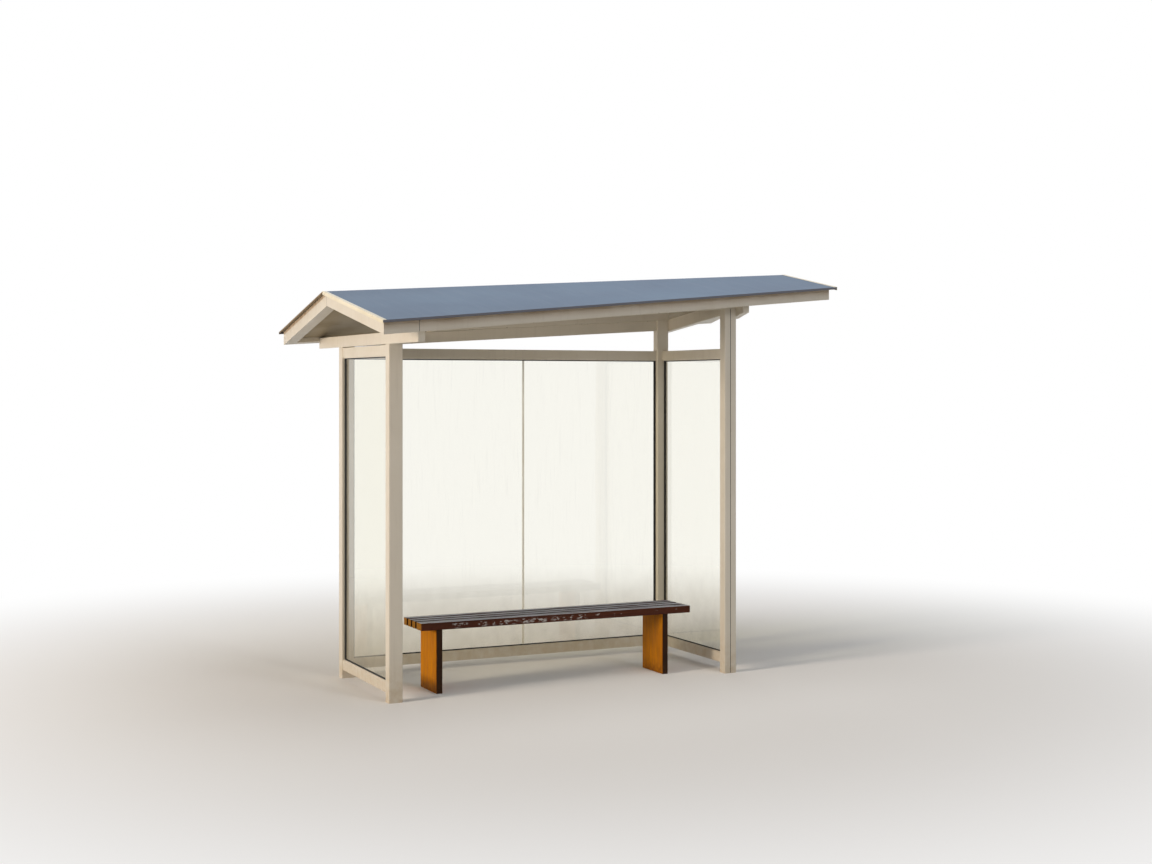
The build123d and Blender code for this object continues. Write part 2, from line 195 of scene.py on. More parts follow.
def overlap(tree, *masks):
    """Where all the masks are: their product. A number among them is a share."""
    result = masks[0]
    for mask in masks[1:]:
        result = node(tree, "ShaderNodeMath", {0: result, 1: mask}, operation="MULTIPLY")
    return result


def facing(tree, axis, low, high, both_ways=False):
    """1 where the surface faces along the axis, or with both_ways where it faces against it too."""
    normal = node(tree, "ShaderNodeNewGeometry", out="Normal")
    turned = node(tree, "ShaderNodeVectorMath", {0: normal, 1: axis}, out="Value",
                  operation="DOT_PRODUCT")
    if both_ways:
        turned = node(tree, "ShaderNodeMath", {0: turned}, operation="ABSOLUTE")
    return node(tree, "ShaderNodeMapRange", {"Value": turned, "From Min": low, "From Max": high})


def coats(tree, first, *over):
    """Colours laid one over another: the first all over, each other one with its mask and its share."""
    colour = linear(first) if isinstance(first, str) else first
    for laid, mask, share in over:
        laid = linear(laid) if isinstance(laid, str) else laid
        factor = overlap(tree, mask, share)
        colour = node(tree, "ShaderNodeMix", {0: factor, 6: colour, 7: laid}, out=2, data_type="RGBA")
    return colour


def relief(tree, *layers):
    """Stacked bumps, each a height from 0 to 1 and its depth in mm."""
    inputs = {}
    for height, depth_mm in layers:
        inputs.update({"Height": height, "Strength": 1.0, "Distance": depth_mm * MM})
        inputs["Normal"] = node(tree, "ShaderNodeBump", inputs)
    return inputs["Normal"]


def coated_steel(coat="#D9D0BF", chips=0.0, roof_edge_shade=None):
    """Cream powder coat baked on steel: satin, faint orange peel, chalked, dusty low down and on ledges.

    The last argument is the slope and height of an upper edge, then how many mm below it a brown band of
    painted shade stays full and where it ends. The band is the roof edge's shadow, painted on and
    mottled.
    """
    def describe(tree):
        chalk = pattern(tree, 420, span=(0.3, 0.7))
        runs = pattern(tree, 30, stretch=(1, 1, 16), span=(0.56, 0.8), detail=4)
        salt = pattern(tree, 10, span=(0.63, 0.76), detail=6)
        sand = pattern(tree, 45, span=(0.32, 0.66), detail=5)
        splash = overlap(tree, share_along(tree, "Z", 0.3, 0.0), sand)
        dust = pattern(tree, 22, span=(0.35, 0.6), detail=5)
        ledge = overlap(tree, facing(tree, UP, 0.6, 0.95), dust)
        wear = pattern(tree, 14, stretch=(1, 1, 2.2), span=(0.64, 0.67), detail=5, shift=3.0)
        colour = coats(
            tree, coat, ("#C8BDA8", chalk, 0.4), ("#A39783", runs, 0.16), ("#BFB091", salt, 0.22),
            ("#B99F77", splash, 0.5), ("#C2AD88", ledge, 0.45), ("#6E5038", wear, chips),
        )
        # painted shade: a mottled brown band under the upper edge stands in for the shadow that the roof
        # edge casts
        if roof_edge_shade:
            slope, edge_height, full_shade_mm, shade_end_mm = roof_edge_shade
            place = node(tree, "ShaderNodeTexCoord", out="Object")
            level = node(tree, "ShaderNodeVectorMath", {0: place, 1: slope}, out="Value",
                         operation="DOT_PRODUCT")
            near = node(tree, "ShaderNodeMapRange", {
                "Value": level, "From Min": edge_height - shade_end_mm * MM,
                "From Max": edge_height - full_shade_mm * MM})
            shade_mottle = pattern(tree, 60, stretch=(3, 1, 1), span=(0.3, 0.6), first=0.6)
            colour = coats(tree, colour, ("#8F6F45", overlap(tree, near, shade_mottle), 0.8))
        peel = pattern(tree, 2.5, span=(0.2, 0.8), detail=1)    # drawn as coarse as it needs to show
        sag = pattern(tree, 240, stretch=(1, 1, 2), span=(0.2, 0.8), detail=1)
        gloss = pattern(tree, 55, span=(0.3, 0.7), first=0.36, last=0.56)
        return node(tree, "ShaderNodeBsdfPrincipled", {
            "Base Color": colour, "Metallic": 0.0, "IOR": 1.5, "Coat Weight": 0.12,
            "Coat Roughness": 0.3, "Roughness": gloss,
            "Normal": relief(tree, (peel, 0.03), (sag, 0.5))})
    return describe


def coil_coated_sheet(tree):
    """Blue grey paint on rolled steel sheet: smooth, satin, faint dust runs; its lips browned as painted
    shade, its verge edges and underside tanned as painted warm light.
    """
    fade = pattern(tree, 800, span=(0.3, 0.7))
    runs = pattern(tree, 45, stretch=(1, 18, 4), span=(0.5, 0.85), detail=4)
    dust = pattern(tree, 8, span=(0.6, 0.8), detail=6)
    drips = pattern(tree, 90, stretch=(1, 2.5, 1), span=(0.66, 0.72), detail=2, shift=5.0)
    # painted light and shade by facing: brown grey shade on lips and edges, tan sunlight on verge edges,
    # tan bounce light on the underside
    folds = facing(tree, UP, 0.8, 0.5)
    sunlit_verges = facing(tree, RIGHT, 0.6, 0.85, both_ways=True)
    bounce_lit_underside = facing(tree, DOWN, 0.6, 0.85)
    colour = coats(
        tree, "#4B6079", ("#587088", fade, 1.0), ("#7C8A9C", runs, 0.2), ("#8E959C", dust, 0.2),
        ("#4C5A6C", drips, 0.25), ("#6A5F58", folds, 0.65), ("#94794F", sunlit_verges, 0.75),
        ("#9A845F", bounce_lit_underside, 0.8),
    )
    grain = pattern(tree, 1.8, span=(0.2, 0.8), detail=1)
    gloss = node(tree, "ShaderNodeMapRange", {"Value": dust, "To Min": 0.5, "To Max": 0.65})
    return node(tree, "ShaderNodeBsdfPrincipled", {
        "Base Color": colour, "Metallic": 0.0, "IOR": 1.45,
        "Roughness": gloss, "Normal": relief(tree, (grain, 0.02), (fade, 0.8))})


def painted_trim(tree):
    """Pale cream paint on a folded aluminium strip: brighter and glossier than the tubes, scuffed."""
    fade = pattern(tree, 240, span=(0.3, 0.7))
    scuffs = pattern(tree, 12, stretch=(1, 5, 1), span=(0.62, 0.72), detail=5)
    colour = coats(tree, "#EBDFC0", ("#DCCFAD", fade, 1.0), ("#A8A193", scuffs, 0.3))
    gloss = node(tree, "ShaderNodeMapRange", {"Value": scuffs, "To Min": 0.28, "To Max": 0.5})
    return node(tree, "ShaderNodeBsdfPrincipled", {
        "Base Color": colour, "Metallic": 0.0, "IOR": 1.5, "Coat Weight": 0.2, "Coat Roughness": 0.2,
        "Roughness": gloss, "Normal": relief(tree, (fade, 0.4))})


def lining_paint(tree):
    """Matt cream paint brushed on thin lining sheet, darkened in patches by damp and dust, and darkened
    all over as painted shade.
    """
    damp = pattern(tree, 320, span=(0.4, 0.7), detail=4)
    specks = pattern(tree, 6, span=(0.63, 0.75), detail=5)
    webs = pattern(tree, 60, stretch=(3, 1, 1), span=(0.6, 0.75), detail=5, shift=2.0)
    # painted shade: the base is the cream darkened to the tone it has in the shade under the roof
    colour = coats(
        tree, "#A8997D", ("#84745A", damp, 0.6), ("#6C5E45", specks, 0.4), ("#6F624C", webs, 0.35))
    brush = pattern(tree, 3.5, stretch=(14, 1, 1), span=(0.2, 0.8), detail=2)
    gloss = node(tree, "ShaderNodeMapRange", {"Value": damp, "To Min": 0.6, "To Max": 0.8})
    return node(tree, "ShaderNodeBsdfPrincipled", {
        "Base Color": colour, "Metallic": 0.0, "IOR": 1.45, "Roughness": gloss,
        "Normal": relief(tree, (brush, 0.08), (damp, 0.6))})


def toughened_glass(tree):
    """Clear float glass, toughened: faintly wavy, hazed by salt, with sand dust along its foot."""
    haze = pattern(tree, 110, span=(0.25, 0.75), detail=5)
    haze = overlap(tree, share_along(tree, "Z", 0.8, 0.13), haze, 0.1)
    runs = overlap(tree, pattern(tree, 13, stretch=(1, 1, 22), span=(0.58, 0.85), detail=4), 0.05)
    spots = overlap(tree, pattern(tree, 5, span=(0.67, 0.72), detail=3), 0.08)
    film = haze
    for layer in (runs, spots, 0.02):
        film = node(tree, "ShaderNodeMath", {0: film, 1: layer}, operation="ADD")
    waves = pattern(tree, 340, span=(0.1, 0.9), detail=0)
    glass = node(tree, "ShaderNodeBsdfPrincipled", {
        "Base Color": linear("#FAF9F1"), "Metallic": 0.0, "IOR": 1.52, "Roughness": 0.01,
        "Transmission Weight": 1.0, "Normal": relief(tree, (waves, 0.4))})
    dust = node(tree, "ShaderNodeBsdfDiffuse", {"Color": linear("#DDD2B6"), "Roughness": 0.8})
    dusty = node(tree, "ShaderNodeMixShader", {0: film, 1: glass, 2: dust})
    clear = node(tree, "ShaderNodeBsdfTransparent", {"Color": linear("#F5F6EF")})
    shadow = node(tree, "ShaderNodeLightPath", out="Is Shadow Ray")
    return node(tree, "ShaderNodeMixShader", {0: shadow, 1: dusty, 2: clear})


def glazing_rubber(tree):
    """Black EPDM, extruded: matt, greyed by weather, with dust in its lips."""
    bloom = pattern(tree, 45, stretch=(2, 2, 2), span=(0.4, 0.75), detail=4)
    dust = pattern(tree, 8, span=(0.62, 0.75), detail=5)
    colour = coats(tree, "#131315", ("#2C2B29", bloom, 1.0), ("#6E6756", dust, 0.25))
    gloss = node(tree, "ShaderNodeMapRange", {"Value": bloom, "To Min": 0.55, "To Max": 0.85})
    return node(tree, "ShaderNodeBsdfPrincipled", {
        "Base Color": colour, "Metallic": 0.0, "IOR": 1.5, "Roughness": gloss,
        "Normal": relief(tree, (dust, 0.1))})


def joint_plastic(tree):
    """Clear polycarbonate, extruded, gone milky in the sun: half see-through."""
    cloud = pattern(tree, 70, stretch=(1, 1, 4), span=(0.3, 0.7), detail=3)
    colour = coats(tree, "#FFFAF0", ("#F3EAD8", cloud, 1.0))
    gloss = node(tree, "ShaderNodeMapRange", {"Value": cloud, "To Min": 0.3, "To Max": 0.5})
    return node(tree, "ShaderNodeBsdfPrincipled", {
        "Base Color": colour, "Metallic": 0.0, "IOR": 1.58, "Alpha": 0.4,
        "Roughness": gloss, "Normal": relief(tree, (cloud, 0.2))})


def seat_wood(tree):
    """Sawn hardwood under old dark stain: silvered grain on top, brown sides, flaked in front."""
    rings = pattern(tree, 7, stretch=(70, 1, 1), span=(0.35, 0.65), detail=4)
    fibres = pattern(tree, 1.6, stretch=(60, 1, 1), span=(0.4, 0.7), detail=3)
    brown = coats(tree, "#3F1A08", ("#55260E", rings, 1.0), ("#1E0E06", fibres, 0.5))
    silver = coats(tree, "#9C9FA6", ("#D9DCE4", rings, 1.0), ("#3C342F", fibres, 0.35))
    bare = pattern(tree, 30, stretch=(16, 1, 1), span=(0.33, 0.46), detail=4, shift=2.0)
    # the front of each board is sat on and worn most
    worn = 0.0
    for number in range(1, SEAT_BOARDS + 1):
        front, back = (corner[1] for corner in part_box(f"seat_board_{number}"))
        band = overlap(tree, share_along(tree, "Y", front - MM, front),
                       share_along(tree, "Y", back, front + 0.45 * (back - front)))
        worn = node(tree, "ShaderNodeMath", {0: band, 1: worn}, operation="ADD")
    worn = node(tree, "ShaderNodeMapRange", {"Value": worn, "To Min": 0.45})
    top = overlap(tree, facing(tree, UP, 0.86, 0.97), bare, worn)
    (left, front, foot), (_, _, upper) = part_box("seat_board_1")
    # painted shade: the board sides in the gaps between the boards are painted near black
    shaded_board_gaps = overlap(tree, facing(tree, BACK, 0.6, 0.8, both_ways=True),
                          share_along(tree, "Y", front + 5 * MM, front + 11 * MM))
    # end grain: growth rings round the heart of the log, below the seat
    heart = node(tree, "ShaderNodeMapping", {
        "Vector": node(tree, "ShaderNodeTexCoord", out="Object"), "Location": (0.0, 0.13, -0.36)})
    growth = node(tree, "ShaderNodeTexWave", {
        "Vector": heart, "Scale": 42.0, "Distortion": 1.5, "Detail": 2.0, "Detail Scale": 1.2}, out=1,
        wave_type="RINGS", rings_direction="X")
    stain = pattern(tree, 12, span=(0.5, 0.7))
    ends = coats(tree, "#A87018", ("#6E4712", growth, 0.8), ("#3A2410", stain, 0.5))
    # flaked paint: along the front board's face, thick on the left half and thinning out to the right
    place = node(tree, "ShaderNodeTexCoord", out="Object")
    placed = node(tree, "ShaderNodeMapping", {"Vector": place, "Scale": (26, 60, 60)})
    cloud = node(tree, "ShaderNodeTexNoise", {
        "Vector": placed, "Scale": 1.0, "Detail": 6.0, "Roughness": 0.62})
    dense = share_along(tree, "X", left + 0.9625, left + 1.7125, 0.12, -0.02)
    start = share_along(tree, "X", left + 0.1625, left + 0.2225, -0.3, 0.0)
    for more in (dense, start):
        cloud = node(tree, "ShaderNodeMath", {0: cloud, 1: more}, operation="ADD")
    flaked = overlap(
        tree, node(tree, "ShaderNodeMapRange", {"Value": cloud, "From Min": 0.64, "From Max": 0.67}),
        pattern(tree, 110, stretch=(1, 9, 9), span=(0.4, 0.5), detail=2, shift=1.3),
        facing(tree, FRONT, 0.75, 0.9), share_along(tree, "Z", upper - 9 * MM, upper - 19 * MM),
        share_along(tree, "Z", foot + 3 * MM, foot + 13 * MM),
        share_along(tree, "Y", front + 13 * MM, front + 7 * MM),
    )
    colour = coats(
        tree, brown, ("#180E09", shaded_board_gaps, 0.8), (silver, top, 1.0),
        (ends, facing(tree, RIGHT, 0.8, 0.95, both_ways=True), 1.0), ("#BDB8B2", flaked, 1.0),
    )
    gloss = node(tree, "ShaderNodeMapRange", {"Value": top, "To Min": 0.6, "To Max": 0.86})
    return node(tree, "ShaderNodeBsdfPrincipled", {
        "Base Color": colour, "Metallic": 0.0, "IOR": 1.45, "Specular IOR Level": 0.25,
        "Roughness": gloss, "Normal": relief(tree, (rings, 0.35), (fibres, 0.25), (flaked, 0.4))})


def leg_wood(tree):
    """Planed hardwood slab under orange brown oil: grain upright, front and back edges weathered dark
    and deepened to near black as painted shade, damp foot.
    """
    rings = pattern(tree, 16, stretch=(1, 1, 16), span=(0.35, 0.65), detail=4)
    fibres = pattern(tree, 2.2, stretch=(1, 1, 40), span=(0.45, 0.72), detail=3)
    blotch = pattern(tree, 90, stretch=(1, 1, 2), span=(0.5, 0.75), detail=3)
    # front and back edges: dark from weathering, and darker still as painted shade
    edge = facing(tree, BACK, 0.6, 0.85, both_ways=True)
    foot = overlap(tree, share_along(tree, "Z", 0.1, 0.0), pattern(tree, 40, span=(0.2, 0.6)))
    dark = coats(tree, "#241204", ("#361C08", rings, 1.0))
    colour = coats(
        tree, "#B56B04", ("#CC8109", rings, 1.0), ("#7C4A08", fibres, 0.5), ("#96590A", blotch, 0.4),
        (dark, edge, 1.0), ("#4A2E10", foot, 0.7),
    )
    gloss = node(tree, "ShaderNodeMapRange", {"Value": rings, "To Min": 0.6, "To Max": 0.8})
    return node(tree, "ShaderNodeBsdfPrincipled", {
        "Base Color": colour, "Metallic": 0.0, "IOR": 1.45, "Specular IOR Level": 0.25,
        "Roughness": gloss, "Normal": relief(tree, (rings, 0.3), (fibres, 0.2))})


def zinc_steel(tree):
    """Zinc plated steel, spun and dulled by salt air, rusting in patches."""
    dull = pattern(tree, 6, span=(0.3, 0.7), detail=4)
    rust = pattern(tree, 9, span=(0.5, 0.6), detail=5, shift=4.0)
    colour = coats(tree, "#93938F", ("#6F6C68", dull, 1.0), ("#5E3520", rust, 0.85))
    metal = node(tree, "ShaderNodeMapRange", {"Value": rust, "To Min": 0.95, "To Max": 0.1})
    gloss = node(tree, "ShaderNodeMapRange", {"Value": rust, "To Min": 0.38, "To Max": 0.75})
    return node(tree, "ShaderNodeBsdfPrincipled", {
        "Base Color": colour, "Metallic": metal, "Roughness": gloss,
        "Normal": relief(tree, (rust, 0.15))})


CREAM = finish("cream_powder_coated_steel", coated_steel())
CREAM_EDGE = finish("cream_powder_coated_steel_worn_edge", coated_steel("#DFD7C6", chips=0.7))
ROOF = finish("blue_grey_coil_coated_steel_sheet", coil_coated_sheet)
TRIM = finish("cream_painted_folded_aluminium", painted_trim)
LINING = finish("matt_cream_lining_sheet_in_painted_shade", lining_paint)
GLASS = finish("clear_toughened_float_glass", toughened_glass)
RUBBER = finish("black_extruded_glazing_rubber", glazing_rubber)
STRIP = finish("milky_extruded_polycarbonate", joint_plastic)
SEAT = finish("sawn_hardwood_weathered_dark_stain", seat_wood)
LEG = finish("planed_hardwood_orange_brown_oil", leg_wood)
ZINC = finish("dulled_zinc_plated_steel", zinc_steel)

# Making pieces from the solids


def whole_faces(name):
    """A solid's surface, its triangles merged to whole faces."""
    bm = bmesh.new()
    bm.from_mesh(NODES[name].data)
    bmesh.ops.remove_doubles(bm, verts=bm.verts, dist=1e-5)
    bmesh.ops.dissolve_limit(bm, angle_limit=math.radians(1), verts=bm.verts, edges=bm.edges)
    return bm


def plain_mesh(piece):
    """Turns a piece's modifiers into its mesh."""
    graph = bpy.context.evaluated_depsgraph_get()
    mesh = bpy.data.meshes.new_from_object(piece.evaluated_get(graph), depsgraph=graph)
    old = piece.data
    piece.modifiers.clear()
    piece.data = mesh
    bpy.data.meshes.remove(old)
    mesh.name = piece.name


def adopt(piece, replaced=()):
    """Makes a piece part of the shelter, in place of the solids it replaces."""
    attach(piece, "root")
    if replaced:
        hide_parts(*replaced)


def new_piece(name, bm, materials, replaced=(), sharp_angle=35):
    """Makes the mesh a piece of the shelter, its flat faces kept flat beside rounded edges."""
    mesh = bpy.data.meshes.new(name)
    bm.to_mesh(mesh)
    bm.free()
    for material in materials:
        mesh.materials.append(material)
    mesh.shade_smooth()
    mesh.set_sharp_from_angle(angle=math.radians(sharp_angle))
    piece = bpy.data.objects.new(name, mesh)
    SCENE.collection.objects.link(piece)
    weighted = piece.modifiers.new("flat faces", "WEIGHTED_NORMAL")
    weighted.keep_sharp = True
    plain_mesh(piece)
    adopt(piece, replaced)


def sharp_edges(bm, least_angle=40):
    """Convex edges that turn by at least an angle."""
    least = math.radians(least_angle)
    return [e for e in bm.edges
            if len(e.link_faces) == 2 and e.is_convex and e.calc_face_angle(0) > least]


def round_edges(bm, edges, radius_mm, segments, material=-1):
    """Rounds edges, in the material of the faces beside them unless one is given."""
    if edges:
        bmesh.ops.bevel(bm, geom=edges, offset=radius_mm * MM, segments=segments, profile=0.5,
                        affect="EDGES", clamp_overlap=True, material=material)


def coated_tube(name, corner_mm, cut_mm=0.7, least_length=0.15, thin=None, coat=CREAM):
    """A steel section: long outer corners rolled, cut ends and lips eased. thin picks the lips."""
    bm = whole_faces(name)
    rolled = [e for e in sharp_edges(bm) if e.calc_length() > least_length and not (thin and thin(e))]
    round_edges(bm, rolled, corner_mm, 3, material=1)
    round_edges(bm, sharp_edges(bm, 50), cut_mm, 1, material=1)
    new_piece(f"{name}_coated", bm, [coat, CREAM_EDGE], [name])


def eased_copy(name, suffix, radius_mm, materials):
    """A solid with its edges eased."""
    bm = whole_faces(name)
    round_edges(bm, sharp_edges(bm), radius_mm, 2)
    new_piece(f"{name}_{suffix}", bm, materials, [name])


def largest_face(bm, outward):
    """The largest face that looks one way: its outline and its normal."""
    face = max((f for f in bm.faces if f.normal.dot(Vector(outward)) > 0.7), key=lambda f: f.calc_area())
    return [v.co.copy() for v in face.verts], face.normal.copy()


def main_face(name, outward):
    """Outline and normal of a node's largest face that looks one way."""
    bm = whole_faces(name)
    outline, normal = largest_face(bm, outward)
    bm.free()
    return outline, normal


def sides(outline):
    """Each side of an outline as its start and end."""
    return list(zip(outline, outline[1:] + outline[:1]))


def line_inside(outline, normal, toward, inset, gap):
    """A line along the side of a flat outline that lies furthest toward a direction, set in from it."""
    start, end = max(sides(outline), key=lambda side: (side[0] + side[1]).dot(Vector(toward)))
    along = (end - start).normalized()
    middle = sum(outline, Vector()) / len(outline)
    inward = normal.cross(along)
    if inward.dot(middle - start) < 0:
        inward = -inward
    return start + inward * inset + along * gap, end + inward * inset - along * gap, normal


def cut_across(outline, x):
    """The two points where an outline is cut across at x."""
    points = []
    for start, end in sides(outline):
        if (start.x - x) * (end.x - x) < 0:
            points.append(start.lerp(end, (x - start.x) / (end.x - start.x)))
    return points


def room_inside(outline, point):
    """How far in from the outline a point lies, in plan."""
    room = []
    for start, end in sides(outline):
        along = (end - start).xy.normalized()
        offset = (point - start).xy
        room.append(abs(offset.x * along.y - offset.y * along.x))
    return min(room)


FLAT_BORDER = 0.02    # held flat by the fixings along a sheet's outline


def dented(bm, outline, step, size, depth, edge):
    """Nets a sheet's faces and lets it sink between its fixings, both faces together."""
    low = [min(v.co[axis] for v in bm.verts) for axis in (0, 1)]
    high = [max(v.co[axis] for v in bm.verts) for axis in (0, 1)]
    for axis in (0, 1):
        count = round((high[axis] - low[axis]) / step)
        for number in range(1, count):
            place, across = [0, 0, 0], [0, 0, 0]
            place[axis] = low[axis] + (high[axis] - low[axis]) * number / count
            across[axis] = 1
            bmesh.ops.bisect_plane(bm, geom=bm.verts[:] + bm.edges[:] + bm.faces[:],
                                   plane_co=place, plane_no=across)
    for v in bm.verts:
        room = min(max(room_inside(outline, v.co) - FLAT_BORDER, 0) / edge, 1)
        sunk = noise.noise(Vector((v.co.x / size, v.co.y / size, 0.3))) * 0.5 + 0.5
        v.co.z -= depth * sunk * room * room * (3 - 2 * room)

# Steel sections, glass and trims

RAIL_HEIGHT = 0.067    # without the lips that hold the rubber channel
LIP_OUT = 0.017        # from the middle of the glass to the outside of a lip
LIP_MIDDLE = 0.0035    # from the rail to the middle of a lip

for post in ("front_left_post", "back_left_post", "front_right_post", "back_right_post"):
    coated_tube(post, 0.7)

for wall in ("left", "right", "back"):
    across = 1 if wall == "back" else 0
    for rail in (f"{wall}_top_rail", f"{wall}_bottom_rail"):
        low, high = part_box(rail)
        middle = (low[across] + high[across]) / 2

        def is_lip(edge):
            return all(abs(v.co[across] - middle) < LIP_OUT + MM for v in edge.verts)

        coated_tube(rail, 3.0, thin=is_lip)

for beam in ("left_cross_beam", "right_cross_beam", "right_outrigger", "back_beam", "back_purlin",
             "front_purlin"):
    coated_tube(beam, 4.0, cut_mm=1.0, least_length=0.12)


def roof_edge_shade_of(name, outward, along, full_shade_mm, shade_end_mm):
    """Slope and height of the upper edge of a tube's outer face, for the painted shade below it."""
    outline, _ = main_face(name, outward)
    long_sides = sorted(sides(outline), key=lambda side: (side[1] - side[0]).length)[-2:]
    start, end = max(long_sides, key=lambda side: side[0].z + side[1].z)
    slope = Vector(UP)
    slope[along] = -(end.z - start.z) / (end[along] - start[along])
    return tuple(slope), slope.dot(start), full_shade_mm, shade_end_mm


# painted shade under the front eave and the back left verge: the fascias and that barge get the brown
# band
FASCIA_SHADED_COAT = finish("cream_powder_coated_steel_painted_shade_under_front_eave", coated_steel(
    roof_edge_shade=roof_edge_shade_of("front_right_fascia", FRONT, along=0, full_shade_mm=20, shade_end_mm=75)))
BARGE_SHADED_COAT = finish("cream_powder_coated_steel_painted_shade_under_back_verge", coated_steel(
    roof_edge_shade=roof_edge_shade_of("back_left_barge", LEFT, along=1, full_shade_mm=20, shade_end_mm=28)))
PAINTED_SHADE_COATS = {"front_left_fascia": FASCIA_SHADED_COAT, "front_right_fascia": FASCIA_SHADED_COAT,
           "back_left_barge": BARGE_SHADED_COAT}
for tube in ("front_left_fascia", "front_right_fascia", "back_fascia", "front_left_barge",
             "front_right_barge", "back_left_barge", "back_right_barge"):
    coated_tube(tube, 2.0, cut_mm=0.8, coat=PAINTED_SHADE_COATS.get(tube, CREAM))

for pane in ("left_glass", "right_glass", "back_left_glass", "back_right_glass"):
    eased_copy(pane, "pane", 1.2, [GLASS])
eased_copy("back_glass_joint", "extrusion", 1.5, [STRIP])
for trim in ("left_verge_trim", "right_verge_trim"):
    eased_copy(trim, "folded", 0.7, [TRIM])

# Roof sheets and linings


def roof_sheet(name):
    """A folded sheet: its folds rounded, its flat slightly sunk between the tubes that carry it."""
    outline, _ = main_face(name, UP)
    bm = whole_faces(name)
    round_edges(bm, [e for e in sharp_edges(bm) if e.calc_length() > 0.3], 1.2, 3)
    dented(bm, outline, step=0.07, size=0.42, depth=0.0022, edge=0.12)
    new_piece(f"{name}_folded", bm, [ROOF], [name])


JOINTS_ACROSS = (-0.62, 0.58)    # joints of the lining sheets, which are about 1.2 m wide
JOINT_HALF = 0.0015              # half the gap of a joint


def lining_sheet(name, start, end):
    """One sheet of the lining between two joints, screwed at its edges and slack in between."""
    bm = whole_faces(name)
    for x, outward in ((start, LEFT), (end, RIGHT)):
        cut = bmesh.ops.bisect_plane(bm, geom=bm.verts[:] + bm.edges[:] + bm.faces[:],
                                     plane_co=(x, 0, 0), plane_no=outward, clear_outer=True)
        open_edges = [e for e in cut["geom_cut"] if isinstance(e, bmesh.types.BMEdge)]
        if open_edges:
            bmesh.ops.holes_fill(bm, edges=open_edges)
    bmesh.ops.recalc_face_normals(bm, faces=bm.faces)
    outline, _ = largest_face(bm, DOWN)
    round_edges(bm, sharp_edges(bm), 0.8, 1)
    dented(bm, outline, step=0.1, size=0.35, depth=0.0018, edge=0.1)
    return bm


for sheet in ("front_roof_sheet", "back_roof_sheet"):
    roof_sheet(sheet)

for lining in ("front_soffit", "back_soffit"):
    low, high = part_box(lining)
    stops = [low[0] - 1, *JOINTS_ACROSS, high[0] + 1]
    whole = bmesh.new()
    for start, end in zip(stops, stops[1:]):
        bm = lining_sheet(lining, start + JOINT_HALF, end - JOINT_HALF)
        part = bpy.data.meshes.new("lining_part")
        bm.to_mesh(part)
        bm.free()
        whole.from_mesh(part)
        bpy.data.meshes.remove(part)
    new_piece(f"{lining}_lining", whole, [LINING], [lining])

# Glazing channels and sealant

CHANNEL_MM = (    # across the glass, and in from the opening's edge
    (-10, 0), (10, 0), (10, 3.6), (9.2, 4.4), (10, 5.2), (10, 9), (8.6, 12.4), (5.2, 14), (4.1, 13),
    (4.1, 5.3), (-4.1, 5.3), (-4.1, 13), (-5.2, 14), (-8.6, 12.4), (-10, 9), (-10, 5.2), (-9.2, 4.4),
    (-10, 3.6),
)


def glazing_channel(name, along):
    """Rubber channel round an opening, mitred at its corners, with two soft lips on the glass."""
    low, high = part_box(name)
    across = 1 - along
    middle = (low[across] + high[across]) / 2
    bm = bmesh.new()
    rings = []
    for aside, inset in CHANNEL_MM:
        inset *= MM
        ring = []
        for at_end, at_top in ((0, 0), (1, 0), (1, 1), (0, 1)):
            corner = Vector()
            corner[across] = middle + aside * MM
            corner[along] = high[along] - inset if at_end else low[along] + inset
            corner.z = high[2] - inset if at_top else low[2] + inset
            ring.append(bm.verts.new(corner))
        rings.append(ring)
    for ring, following in zip(rings, rings[1:] + rings[:1]):
        for number in range(4):
            after = (number + 1) % 4
            bm.faces.new((ring[number], ring[after], following[after], following[number]))
    bmesh.ops.recalc_face_normals(bm, faces=bm.faces)
    new_piece(f"{name}_channel", bm, [RUBBER], [name], sharp_angle=30)


for wall in ("left", "right", "back"):
    glazing_channel(f"{wall}_gasket", 0 if wall == "back" else 1)


def sealant_bead(name, start, end, across, outward, width=0.0024, proud=0.0002, depth=0.0028):
    """A flat bead of black sealant that fills a joint along a line in a face."""
    bm = bmesh.new()
    bmesh.ops.create_cube(bm, size=1)
    for v in bm.verts:
        level = proud if v.co.y > 0 else proud - depth
        aside = v.co.x * width
        v.co = start.lerp(end, v.co.z + 0.5) + Vector(across) * aside + Vector(outward) * level
    bmesh.ops.recalc_face_normals(bm, faces=bm.faces)
    new_piece(name, bm, [RUBBER])


def joint_line(name, outward, end_axis, inset=0.003):
    """The upright line where a tube's outer face meets the next tube, an inset short of both edges."""
    outline, _ = main_face(name, outward)
    ends = sorted(outline, key=lambda co: co[end_axis])[-2:]
    low, high = sorted(ends, key=lambda co: co.z)
    step = (high - low).normalized() * inset
    return low + step, high - step


# black sealant in the groove down the front right post and in the joints of the roof tubes
low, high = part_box("front_right_post")
middle = (low[0] + high[0]) / 2
sealant_bead("front_right_post_seam_sealant", Vector((middle, low[1], low[2] + 0.003)),
             Vector((middle, low[1], high[2] - 0.009)), RIGHT, FRONT,
             width=0.0048, proud=-0.0009, depth=0.0016)
for side, outward in (("left", LEFT), ("right", RIGHT)):
    sealant_bead(f"{side}_gable_joint_sealant", *joint_line(f"front_{side}_barge", outward, 1),
                 BACK, outward)
sealant_bead("fascia_joint_sealant", *joint_line("front_left_fascia", FRONT, 0), RIGHT, FRONT)

# Rows of screws, weld beads and boards, grown by node trees


